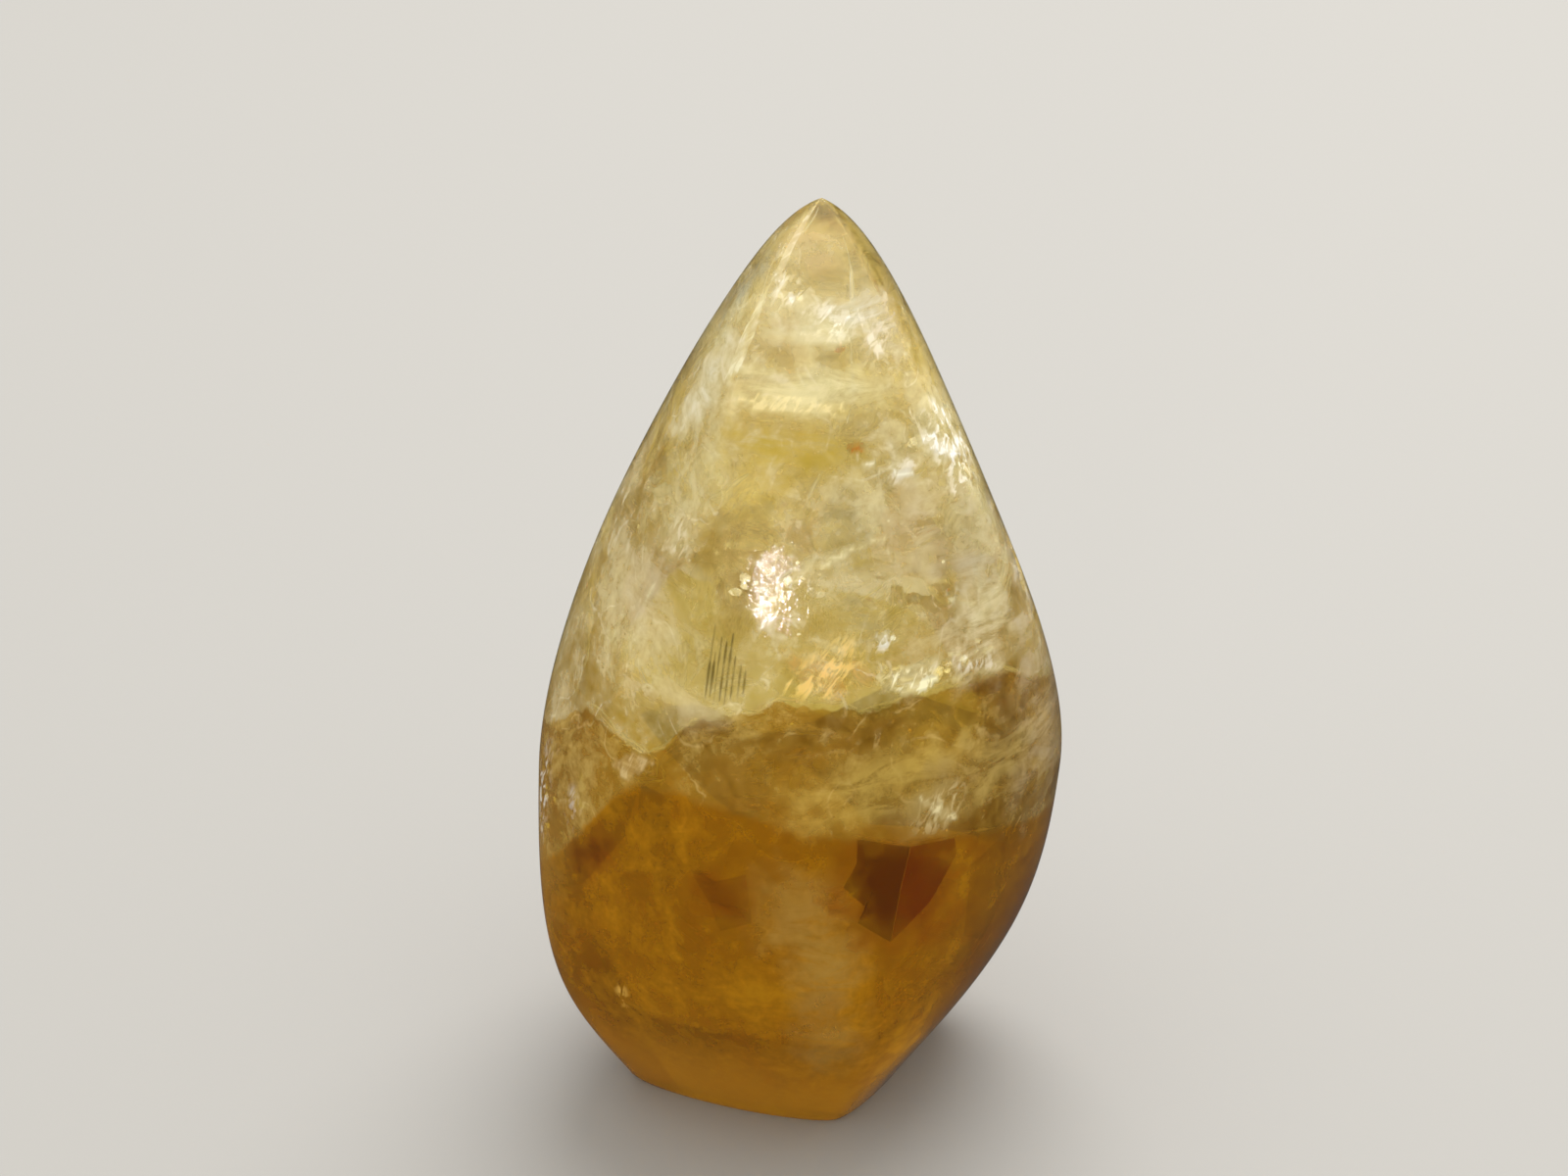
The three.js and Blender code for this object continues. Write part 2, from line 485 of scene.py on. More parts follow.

# Painted flashes: glints and glows painted in chips into the milk colour at the surface, where fresh breaks
# catch the light. Columns are as for the stains, then the colour and how much of it is painted in.
PAINTED_FLASHES = [
    (54, 43.5, 4.2, 5.5, 25, WHITE, 1.0),
    (61, 42.8, 3.4, 5.5, 20, WHITE, 0.8),
    (30, 31.2, 5.0, 1.8, 12, (1.0, 0.94, 0.62), 1.0),
    (46, 31.4, 6.0, 1.3, 10, WHITE, 0.6),
    (11, 50.7, 3.4, 1.6, 20, WHITE, 0.7),
    (-30, 52.0, 3.0, 1.6, 0, WHITE, 0.5),
    (21, 33.7, 1.4, 1.4, 0, WHITE, 0.8),
    (33, 42.8, 4.4, 1.2, -20, WHITE, 0.6),
    (33, 49.5, 2.4, 3.6, 15, (0.98, 0.88, 0.76), 0.4),
    (-51, 38.1, 3.6, 2.6, 0, WHITE, 0.4),
    (-80, 19.6, 2.8, 8.0, 0, WHITE, 0.8),
    (-65, 20.4, 1.6, 3.4, 0, (0.86, 0.92, 1.0), 0.35),
    (75, 35.5, 2.0, 6.0, 0, WHITE, 0.4),
    (4, 32.4, 6.0, 3.2, -30, (1.0, 0.64, 0.20), 0.75),
    (36, 23.6, 5.0, 2.8, -30, (0.86, 0.74, 0.42), 0.5),
    (-48, 9.4, 1.2, 2.6, 0, (1.0, 0.62, 0.12), 0.6),
    (150, 41.0, 5.0, 4.0, 20, WHITE, 0.7),
    (-135, 36.0, 4.0, 5.0, -20, WHITE, 0.6),
    (112, 30.0, 6.0, 1.8, 10, (1.0, 0.92, 0.62), 0.7),
    (-170, 24.0, 6.0, 2.0, -10, (1.0, 0.86, 0.50), 0.6),
]

# Painted gleams: shapes with straight sides painted nearly whole into the milk colour, most of them
# reflections of flat breaks, and the rows in rust real iron stains. Corners are turns in degrees and heights
# in millimetres, then the colour and how much of it is painted in.
PAINTED_GLEAMS_AND_RUST = [
    ([(1, 50.5), (21, 51.1), (22, 50.7), (17, 50.3)], WHITE, 0.9),
    ([(27, 51.2), (31, 50.5), (37, 48.8), (32, 48.6), (27, 49.9)], (0.97, 0.90, 0.72), 0.6),
    ([(-43, 52.2), (-36, 52.8), (-34, 52.1)], WHITE, 0.9),
    ([(-31, 51.3), (-18, 51.8), (-23, 51.1)], WHITE, 0.8),
    ([(-52, 55.9), (-38, 55.8), (-38, 53.3), (-40, 52.0), (-44, 52.1), (-46, 53.4)], WHITE, 0.4),
    ([(40, 45.9), (45, 44.7), (51, 44.0), (63, 42.4), (49, 43.0), (43, 44.0)], WHITE, 1.0),
    ([(50, 46.2), (69, 43.9), (56, 44.4), (49, 45.6)], WHITE, 0.8),
    ([(60, 44.3), (76, 41.4), (58, 42.5)], WHITE, 0.8),
    ([(16, 43.7), (38, 42.5), (35, 42.2), (18, 43.3)], (0.93, 0.93, 0.76), 0.7),
    ([(-45, 52.5), (-41, 49.8), (-42, 47.7), (-50, 47.0), (-50, 49.8)], (0.90, 0.91, 0.68), 0.5),
    ([(-39, 46.4), (-27, 46.8), (-1, 46.7), (16, 46.3), (14, 45.6), (-11, 45.9), (-30, 46.0)], CREAM, 0.6),
    ([(-16, 50.0), (20, 50.3), (19, 49.3), (-9, 49.4)], (0.97, 0.90, 0.62), 0.5),
    ([(-54, 24.4), (-48, 25.8), (-40, 25.7), (-44, 24.8), (-48, 23.9)], (0.78, 0.62, 0.32), 0.6),
    ([(24, 30.9), (31, 31.4), (37, 31.3), (34, 30.7), (27, 30.4)], (1.0, 0.94, 0.60), 1.0),
    ([(18, 34.1), (22, 34.4), (23, 33.6), (21, 33.3)], (0.95, 0.95, 0.84), 0.8),
    ([(-12, 36.9), (-4, 38.1), (13, 39.1), (30, 39.5), (14, 38.7), (-2, 37.6)], (0.95, 0.90, 0.60), 0.5),
    ([(29, 24.5), (37, 23.4), (42, 22.0), (35, 22.7), (31, 23.6)], (0.88, 0.78, 0.44), 0.7),
    ([(14.5, 44.0), (16.5, 44.45), (19, 44.25), (21, 43.9), (17.5, 43.7)], RUST, 1.0),
    ([(11.5, 49.0), (13, 49.25), (14.5, 49.05), (13, 48.8)], RUST, 0.9),
    ([(140, 42.0), (152, 41.0), (160, 39.0), (148, 39.6)], WHITE, 0.8),
    ([(-140, 37.5), (-128, 36.0), (-131, 34.0), (-141, 35.6)], WHITE, 0.7),
    ([(104, 33.0), (118, 31.8), (114, 30.2), (106, 31.0)], (1.0, 0.94, 0.60), 0.8),
]
STAIN_STRENGTH = 0.95
STAIN_FIRM_SHARE = 0.1
FLASH_FIRM_SHARE = 0.3
LEAST_SHARE = 1e-6


def gleam_masks(mesh, shapes):
    """For each shape with straight sides, 1 at the vertices inside it and 0 outside."""
    points = np.array([vertex.co for vertex in mesh.vertices])
    centres = axis_at(points[:, 2])
    turns = np.degrees(np.arctan2(points[:, 0] - centres[:, 0], centres[:, 1] - points[:, 1]))
    heights = points[:, 2] / MM
    for corners in shapes:
        within = np.zeros(len(points), dtype=bool)
        for (turn, height), (next_turn, next_height) in zip(corners, corners[1:] + corners[:1]):
            side = turn + (heights - height) / (next_height - height) * (next_turn - turn)
            within ^= ((height > heights) != (next_height > heights)) & (turns < side)
        yield within


def layered(colours, shares, colour, share):
    """Lays a colour over others, each with its share at every vertex."""
    left = (1 - share)[:, None]
    return colours * left + np.outer(share, colour), shares * (1 - share) + share


def mark(mesh):
    """Keeps the stains, the painted flashes, and the painted gleams with two rust stains, at the vertices of
    the crystal.
    """
    count = len(mesh.vertices)
    through, back, milky = np.zeros((count, 3)), np.zeros((count, 3)), np.zeros((count, 1))
    shares = np.zeros(count)
    masks = oval_masks(mesh, STAINS_AND_PAINTED_LIGHT, STAIN_FIRM_SHARE)
    for mask, (*_, through_colour, back_colour, milk) in zip(masks, STAINS_AND_PAINTED_LIGHT):
        share = STAIN_STRENGTH * mask
        through = layered(through, shares, through_colour, share)[0]
        back = layered(back, shares, back_colour, share)[0]
        milky, shares = layered(milky, shares, milk, share)
    stained = np.maximum(shares, LEAST_SHARE)[:, None]
    paint(mesh, "stain_through", through / stained, shares)
    paint(mesh, "stain_back", back / stained, (milky / stained)[:, 0])

    flash_masks = oval_masks(mesh, PAINTED_FLASHES, FLASH_FIRM_SHARE)
    gleams = gleam_masks(mesh, [corners for corners, _, _ in PAINTED_GLEAMS_AND_RUST])
    for name, masks, rows in (("flash", flash_masks, PAINTED_FLASHES), ("gleam", gleams, PAINTED_GLEAMS_AND_RUST)):
        colours, shares = np.zeros((count, 3)), np.zeros(count)
        for mask, (*_, colour, strength) in zip(masks, rows):
            colours, shares = layered(colours, shares, colour, strength * mask)
        paint(mesh, name, colours / np.maximum(shares, LEAST_SHARE)[:, None], shares)


# How the quartz clouds: the size of its lumps, streaks, veins and chips, how sharp the cracks are, in
# millimetres, and how milky it is, from 0, clear, to 1.
BROAD_LUMP, FINE_LUMP, GRIT = 8 * MM, 2 * MM, 0.5 * MM
BEND_LENGTH = 5 * MM
VEIN_WIDTH = 0.02
WISP_SIZE = (4 * MM, 4 * MM, 1.4 * MM)
CHIP_SIZE = (0.5 * MM, 0.5 * MM, 2 * MM)
CHIP_LEAN = math.radians(35)
GROOVE_SIZE = (0.35 * MM, 0.35 * MM, 4 * MM)
GROOVE_LEAN = math.radians(10)
GROOVE_DEPTH = 0.045 * MM
UPPER_EDGE, LOWER_EDGE = 0.1, 0.35
BACK_DEPTH = 6
STREAK_REACH = 4
FOOT_LOW, FOOT_HIGH = 2, 9
PALE_MILKINESS, TAN_GAIN, AMBER_GAIN = 0.26, 0.14, 0.12
FOOT_MILKINESS, GLEAM_MILKINESS = 0.7, 0.9
LEAST_MILKINESS, MOST_MILKINESS = 0.03, 0.9
BODY_TINT = (0.95, 0.8, 0.45, 1)
BODY_DENSITY = 4


def citrine():
    """Clear golden quartz with milky clouds, pale above the cracks, tan between them and amber below."""
    material, start = new_material("citrine")
    place = start.node("ShaderNodeTexCoord", output="Object")
    across, depth, height = [
        place.node("ShaderNodeSeparateXYZ", {}, {"Vector": place}, axis) * (1 / MM)
        for axis in ("X", "Y", "Z")
    ]
    broad = cloud(place, BROAD_LUMP, 5.0, 0.6, 0.8)
    fine = cloud(place, FINE_LUMP, 6.0, 0.65, 0.6)
    grit = cloud(place, GRIT, 3.0, 0.6)

    # The two cracks, which are more ragged at the back
    at_back = eased_wire(depth, 0, BACK_DEPTH)
    ragged = (fine - 0.5) * 1.2 + (grit - 0.5) * 0.7 + (broad - 0.5) * (5 * at_back)
    dipped = height + DIP_TO_BACK * start.math("MAXIMUM", depth, 0)
    under_upper = line_height(across, UPPER_LINE) + ragged - dipped
    under_lower = line_height(across, LOWER_LINE) + ragged - dipped
    below_upper = eased_wire(under_upper, -UPPER_EDGE, UPPER_EDGE)
    below_lower = eased_wire(under_lower, -LOWER_EDGE, LOWER_EDGE)

    # The colour through each quartz, and the colour of its milk
    amber = mixed(eased_wire(fine + (broad - 0.5) * 0.8, 0.35, 0.65), DEEP_AMBER, AMBER)
    clear_colour = mixed(below_lower, mixed(below_upper, PALE, TAN), amber)
    tone = broad * 0.45 + fine * 0.35 + grit * 0.2
    pale_milk = tone.ramp([(0.37, OLIVE), (0.44, STRAW), (0.51, PALE_MILK), (0.58, CREAM)])
    tan_milk = tone.ramp([(0.38, DARK_TAN_MILK), (0.5, TAN_MILK), (0.61, LIGHT_TAN_MILK)])
    amber_milk = tone.ramp([(0.38, DARK_AMBER_MILK), (0.5, AMBER_MILK), (0.61, LIGHT_AMBER_MILK)])
    milk_colour = mixed(below_lower, mixed(below_upper, pale_milk, tan_milk), amber_milk)

    # How milky it is: lumps all over, streaks along the upper crack, and thin veins
    calm = 1 - 0.3 * below_lower
    milkiness = PALE_MILKINESS + TAN_GAIN * below_upper + AMBER_GAIN * below_lower
    milkiness = milkiness + (broad - 0.5) * 0.7 + ((fine - 0.5) * 0.5 + (grit - 0.5) * 0.2) * calm
    sockets = {"X": across * 0.15, "Y": depth * 0.15, "Z": under_upper * 1.4}
    streaks = cloud(start.node("ShaderNodeCombineXYZ", {}, sockets), 1.0, 4.0, 0.6)
    near_crack = (below_upper - below_lower) * (1 - eased_wire(under_upper, 0, STREAK_REACH))
    milkiness = milkiness + (streaks - 0.5) * (0.9 * near_crack)
    bends = cloud(place, BEND_LENGTH, 2.5, 0.5, 0.8)
    veins = (1 - eased_wire(abs(bends - 0.5), 0.0, VEIN_WIDTH)) * eased_wire(fine, 0.4, 0.6)
    veins = veins * (1 - 0.7 * below_lower)
    vein_milk = mixed(below_lower, mixed(below_upper, WHITE, PALE_VEIN), GOLD_VEIN)
    milk_colour = mixed(veins * 0.3, milk_colour, vein_milk)
    milkiness = milkiness + veins * 0.12

    # Painted glow: the foot is painted a brighter orange, and milkier, for the light that comes in low
    foot_glow = 0.8 * (1 - eased_wire(height + (broad - 0.5) * 8, FOOT_LOW, FOOT_HIGH))
    milk_colour = mixed(foot_glow, milk_colour, FOOT_GLOW_MILK)
    clear_colour = mixed(foot_glow, clear_colour, GLOW)
    milkiness = milkiness + foot_glow * (FOOT_MILKINESS - milkiness)

    # Stains and the painted light and shade among them: the milky ones break up into level wisps, and the
    # clear ones stay whole
    wisps = eased_wire(cloud(stretched(place, WISP_SIZE), 1.0, 6.0, 0.7, 0.8), 0.35, 0.6)
    stain_milk = start.kept("stain_back", "Alpha")
    whole = start.math("MAXIMUM", wisps, 1 - 4 * stain_milk)
    stained = start.kept("stain_through", "Alpha") * (0.35 + 0.65 * whole)
    clear_colour = mixed(stained, clear_colour, start.kept("stain_through", "Color"))
    milk_colour = mixed(stained, milk_colour, start.kept("stain_back", "Color"))
    milkiness = milkiness + stained * (stain_milk - milkiness) * 0.95
    milkiness = milkiness + (fine - 0.5) * 0.25 * stained

    # Painted flashes break up into slanted chips, and painted gleams and rust stains stay nearly whole
    chips = eased_wire(cloud(stretched(place, CHIP_SIZE, CHIP_LEAN), 1.0, 3.0, 0.6, 0.5), 0.46, 0.62)
    for name, cover in (("flash", chips), ("gleam", 0.4 + 0.6 * chips)):
        bright = start.kept(name, "Alpha") * cover
        milk_colour = mixed(bright, milk_colour, start.kept(name, "Color"))
        milkiness = milkiness + bright * (GLEAM_MILKINESS - milkiness)

    # The polish is dull and grooved in the scuff
    sockets = {0: place, 1: SCUFF_MIDDLE}
    from_scuff = place.node("ShaderNodeVectorMath", {"operation": "DISTANCE"}, sockets, "Value")
    scuffed = 1 - eased_wire(from_scuff * (1 / SCUFF_REACH), 0.5, 1.3)
    haze = 0.02 + 0.02 * below_upper + 0.02 * below_lower + scuffed * fine * 0.02
    grooves = cloud(stretched(place, GROOVE_SIZE, GROOVE_LEAN), 1.0, 3.0, 0.6)
    sockets = {"Strength": 1.0, "Distance": GROOVE_DEPTH, "Height": grooves * scuffed}
    grooved = start.node("ShaderNodeBump", {}, sockets, "Normal")

    sockets = {
        "Base Color": clear_colour,
        "Roughness": haze,
        "Normal": grooved,
        "IOR": QUARTZ_IOR,
        "Transmission Weight": 1.0,
    }
    clear = start.node("ShaderNodeBsdfPrincipled", {}, sockets)
    sockets = {
        "Base Color": milk_colour,
        "Roughness": 0.08,
        "Normal": grooved,
        "IOR": QUARTZ_IOR,
        "Specular IOR Level": 0.15,
    }
    milk = start.node("ShaderNodeBsdfPrincipled", {}, sockets)
    sockets = {"Value": milkiness, "Min": LEAST_MILKINESS, "Max": MOST_MILKINESS}
    share = start.node("ShaderNodeClamp", {}, sockets)
    surface = start.node("ShaderNodeMixShader", {}, {"Fac": share, 1: clear, 2: milk})
    body = start.node("ShaderNodeVolumeAbsorption", {}, {"Color": BODY_TINT, "Density": BODY_DENSITY})
    start.node("ShaderNodeOutputMaterial", {}, {"Surface": surface, "Volume": body})
    return material


def show(mesh, material):
    """Puts a piece in the scene as part of the one stone. What lies inside it casts no shadow."""
    piece = bpy.data.objects.new(mesh.name, mesh)
    bpy.context.scene.collection.objects.link(piece)
    mesh.materials.append(material)
    piece.visible_shadow = False
    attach(piece, "root")
    return piece


mark(crystal_mesh)
crystal = show(crystal_mesh, citrine())
crystal.visible_shadow = True
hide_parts("crystal")

# Veils: films of tiny bubbles where old cracks healed, milky in the pale quartz and stained in the
# amber. They are part of the stone, so each is a thin sheet inside the crystal.
DEEPEST_SHARE = 0.97
END_GAP = 0.5 * MM
SHORTEST_WAY = 0.01 * MM
VEIL_RINGS = 12
VEIL_SPOKES = 36
VEIL_RAGGEDNESS = 0.35
RIPPLE_LENGTH = 5 * MM
RIPPLE_HEIGHT = 0.6
JOIN_DISTANCE = 0.001 * MM
HONEY = (0.74, 0.42, 0.05)


def kept_inside(point):
    """The point itself, or the last place inside the surface on the way to it from the axis."""
    middle = middle_at(min(max(point.z, END_GAP), HEIGHT - END_GAP))
    away = point - middle
    surface = walls.ray_cast(middle, away)[0]
    if surface is None:
        return middle
    most = (surface - middle).length * DEEPEST_SHARE
    return middle + away * min(1, most / max(away.length, SHORTEST_WAY))


class Sheets:
    """Thin sheets gathered into one mesh, each with its tint and with a fade towards its edge."""

    def __init__(self):
        self.points = []
        self.faces = []
        self.tints = []
        self.fades = []

    def add(self, rows, tint, fades):
        """A sheet from rows of points, which all have one length, and a fade for each point."""
        first = len(self.points)
        columns = len(rows[0])
        for row, row_fades in zip(rows, fades):
            self.points.extend(row)
            self.fades.extend(row_fades)
            self.tints.extend([tint] * columns)
        for low in range(first, first + columns * (len(rows) - 1), columns):
            for left in range(low, low + columns - 1):
                self.faces.append((left, left + 1, left + columns + 1, left + columns))

    def mesh(self, name):
        """All the sheets as one mesh, with doubled points joined."""
        mesh = bpy.data.meshes.new(name)
        mesh.from_pydata(self.points, [], self.faces)
        paint(mesh, "film", self.tints, self.fades)
        joined = bmesh.new()
        joined.from_mesh(mesh)
        bmesh.ops.remove_doubles(joined, verts=joined.verts, dist=JOIN_DISTANCE)
        joined.to_mesh(mesh)
        joined.free()
        mesh.shade_smooth()
        return mesh


def veil(
    sheets, turn, height, share, width, length, lean=0, yaw=0, roll=0, bulge=0, tint=CREAM, body=1.0
):
    """A ragged round sheet. Sizes are in millimetres, and lean, yaw and roll in degrees."""
    centre = inside(turn, height, share)
    facing = outward(turn + yaw)
    level = Vector((-facing.y, facing.x, 0))
    upright = Vector((0, 0, 1)) * math.cos(math.radians(lean)) + facing * math.sin(math.radians(lean))
    across = level * math.cos(math.radians(roll)) + upright * math.sin(math.radians(roll))
    along = upright * math.cos(math.radians(roll)) - level * math.sin(math.radians(roll))
    normal = level.cross(upright)
    key = Vector((turn, height, 9 * share))
    rows, fades = [], []
    for ring in range(VEIL_RINGS + 1):
        r = ring / VEIL_RINGS
        row = []
        for spoke in range(VEIL_SPOKES + 1):
            angle = 2 * math.pi * spoke / VEIL_SPOKES
            rim = Vector((math.cos(angle), math.sin(angle), 0))
            ragged = 1 + VEIL_RAGGEDNESS * noise.fractal(key + rim * 1.3, 0.8, 2.0, 4)
            offset = across * (rim.x * width / 2) + along * (rim.y * length / 2)
            point = centre + offset * (r * ragged * MM)
            ripple = RIPPLE_HEIGHT * noise.fractal(point / RIPPLE_LENGTH + key, 1.0, 2.0, 3)
            row.append(kept_inside(point + normal * ((bulge * r * r + ripple) * MM)))
        rows.append(row)
        fades.append([body * (1 - r**2)] * (VEIL_SPOKES + 1))
    sheets.add(rows, tint, fades)


# The veils that show best, close under the surface: turn and height of the middle, width, length and
# roll, tint, and density. Lengths are in millimetres and angles in degrees.
PATCHES = [
    (-78, 48.1, 4.0, 9, -20, WHITE, 1.5),
    (-72, 43.0, 4.0, 10, -15, WHITE, 1.3),
    (-74, 38.5, 4.0, 8, -10, WHITE, 0.9),
    (-12, 46.9, 9.0, 3.4, 0, WHITE, 1.6),
    (-5, 49.8, 5.5, 2.0, 0, WHITE, 1.5),
    (31, 50.0, 3.6, 5.5, 10, WHITE, 1.0),
    (-22, 40.7, 5.5, 1.5, 35, OLIVE, 1.3),
    (16, 38.3, 5.0, 2.5, 20, OLIVE, 0.9),
    # Painted glint: a dense white veil under the painted flash on the right.
    (54, 43.6, 4.4, 5.5, 20, WHITE, 1.4),
    (55, 39.5, 4.5, 6.0, 0, WHITE, 1.2),
    (64, 36.0, 5.5, 8.0, 0, WHITE, 1.0),
    (38, 36.5, 6.0, 6.0, 20, CREAM, 1.0),
    (28, 46.5, 4.0, 4.0, 0, CREAM, 0.9),
    (-52, 38.5, 4.5, 4.5, 0, WHITE, 1.0),
    (-30, 36.0, 7.0, 5.0, 20, CREAM, 0.8),
    (8, 36.5, 8.0, 2.5, 15, WHITE, 0.5),
    # Painted glow and glint: an orange and a white veil under the painted flashes there.
    (4, 32.3, 5.5, 3.4, -30, (1.0, 0.66, 0.22), 2.0),
    (30, 31.3, 4.2, 1.8, 12, WHITE, 2.0),
    (52, 34.3, 3.6, 4.4, 0, WHITE, 1.3),
    (-50, 30.0, 7.0, 5.0, 0, CREAM, 0.9),
    (35, 23.6, 5.5, 3.2, -30, WHITE, 1.3),
    (70, 25.0, 6.0, 9.0, 0, CREAM, 0.9),
    (44, 26.5, 6.0, 4.5, 0, STRAW, 0.7),
    (-5, 27.0, 12.0, 4.5, -5, STRAW, 0.5),
    # Painted reflection and haze: these two veils paint the pale wisp along the rounded front ridge.
    (4, 17.5, 6.5, 12, 0, CREAM, 0.6),
    (7, 10.8, 5.0, 10, 0, CREAM, 0.5),
]
PATCH_SHARE = 0.94
WISP_LENGTH = 4 * MM
PALE_VEILS = 34
AMBER_VEILS = 16
GOLDEN_SHARE = 0.382
PALE_TINTS = [CREAM, CREAM, WHITE, STRAW]
AMBER_TINTS = [HONEY, HONEY, GLOW, CREAM]


def veil_film():
    """A milky film: dull, stained by the tint, and thin or open where the bubbles are few."""
    material, start = new_material("veil_film")
    place = start.node("ShaderNodeTexCoord", output="Object")
    bubbles = eased_wire(cloud(place, WISP_LENGTH, 6.0, 0.65, 1.5), 0.42, 0.62)
    sockets = {
        "Base Color": start.kept("film", "Color"),
        "Roughness": 0.6,
        "IOR": 1.1,
        "Alpha": start.kept("film", "Alpha") * (0.2 + 0.8 * bubbles),
    }
    surface = start.node("ShaderNodeBsdfPrincipled", {}, sockets)
    start.node("ShaderNodeOutputMaterial", {}, {"Surface": surface})
    return material


veils = Sheets()
for turn, height, width, length, roll, tint, strength in PATCHES:
    veil(veils, turn, height, PATCH_SHARE, width, length, roll=roll, tint=tint, body=strength)
draw = np.random.default_rng(5)


def scatter_veils(count, lowest, highest, tints, body):
    """Veils at all turns and depths between two heights."""
    for number in range(count):
        veil(
            veils,
            turn=360 * number * GOLDEN_SHARE + draw.uniform(-10, 10),
            height=draw.uniform(lowest, highest),
            share=draw.uniform(0.4, 0.95),
            width=draw.uniform(5, 11),
            length=draw.uniform(5, 12),
            lean=draw.uniform(-45, 45),
            yaw=draw.uniform(-50, 50),
            roll=draw.uniform(-60, 60),
            bulge=draw.uniform(-1.5, 1.5),
            tint=tints[number % len(tints)],
            body=body,
        )


scatter_veils(PALE_VEILS, 29, 50, PALE_TINTS, 0.9)
scatter_veils(AMBER_VEILS, 4, 28, AMBER_TINTS, 0.6)
show(veils.mesh("milky_veils_and_painted_glints"), veil_film())

# Dark panes: dark films with straight edges just under the surface of the amber. The first two are painted
# shade, where the dark surroundings show through a clear window, and the rest are darker reddish patches.
# Corners are turns in degrees and heights in millimetres.
DARK_PANES = [
    # Painted shade: these two panes darken the clear window.
    (
        [(13, 22.6), (27, 21.4), (25, 19.2), (23, 15.4), (14, 17.2), (16, 18.1), (10, 19.7), (13, 21.1)],
        (0.21, 0.08, 0.002),
        0.8,
    ),
    (
        [(27.2, 21.4), (40, 21.0), (41, 19.9), (34, 17.3), (23.2, 15.4), (25.2, 19.2)],
        (0.40, 0.13, 0.002),
        0.75,
    ),
    ([(-44, 24.0), (-36, 23.9), (-33, 21.9), (-39, 21.0), (-44, 22.4)], UMBER, 0.5),
    ([(-72, 16.2), (-51, 22.5), (-45, 23.2), (-47, 20.5), (-60, 16.0), (-68, 14.6)], RUSSET, 0.6),
    ([(-30, 20.8), (-21, 19.5), (-13, 20.4), (-11, 17.2), (-19, 16.2), (-22, 18.0)], RUSSET, 0.35),
    ([(-40, 20.6), (-31, 21.6), (-29, 19.4), (-36, 17.6)], RUSSET, 0.3),
    ([(46, 18.6), (58, 19.6), (66, 16.0), (58, 12.0), (48, 13.5)], RUSSET, 0.35),
    ([(150, 18.0), (172, 20.5), (185, 17.0), (176, 12.5), (156, 13.0)], UMBER, 0.55),
    ([(-120, 20.0), (-104, 19.0), (-100, 15.0), (-112, 13.0), (-124, 16.0)], RUSSET, 0.6),
]
PANE_SHARE = 0.965
PANE_RINGS = 6
STEPS_PER_SIDE = 4


def pane(sheets, corners, tint, body):
    """A sheet with straight edges between its corners."""
    middle_turn = sum(turn for turn, _ in corners) / len(corners)
    middle_height = sum(height for _, height in corners) / len(corners)
    rim = []
    for (turn, height), (next_turn, next_height) in zip(corners, corners[1:] + corners[:1]):
        for step in range(STEPS_PER_SIDE):
            at_turn = turn + (next_turn - turn) * step / STEPS_PER_SIDE
            at_height = height + (next_height - height) * step / STEPS_PER_SIDE
            rim.append((at_turn, at_height))
    rim.append(rim[0])
    rows = []
    for ring in range(PANE_RINGS + 1):
        r = ring / PANE_RINGS
        row = []
        for turn, height in rim:
            at_turn = middle_turn + (turn - middle_turn) * r
            at_height = middle_height + (height - middle_height) * r
            row.append(inside(at_turn, at_height, PANE_SHARE))
        rows.append(row)
    sheets.add(rows, tint, [[body] * len(rim)] * len(rows))


def plain_film():
    """An even film, as dense as its fade says."""
    material, start = new_material("plain_film")
    sockets = {
        "Base Color": start.kept("film", "Color"),
        "Roughness": 0.4,
        "IOR": 1.1,
        "Alpha": start.kept("film", "Alpha"),
    }
    surface = start.node("ShaderNodeBsdfPrincipled", {}, sockets)
    start.node("ShaderNodeOutputMaterial", {}, {"Surface": surface})
    return material


panes = Sheets()
for corners, tint, strength in DARK_PANES:
    pane(panes, corners, tint, strength)
show(panes.mesh("dark_panes"), plain_film())

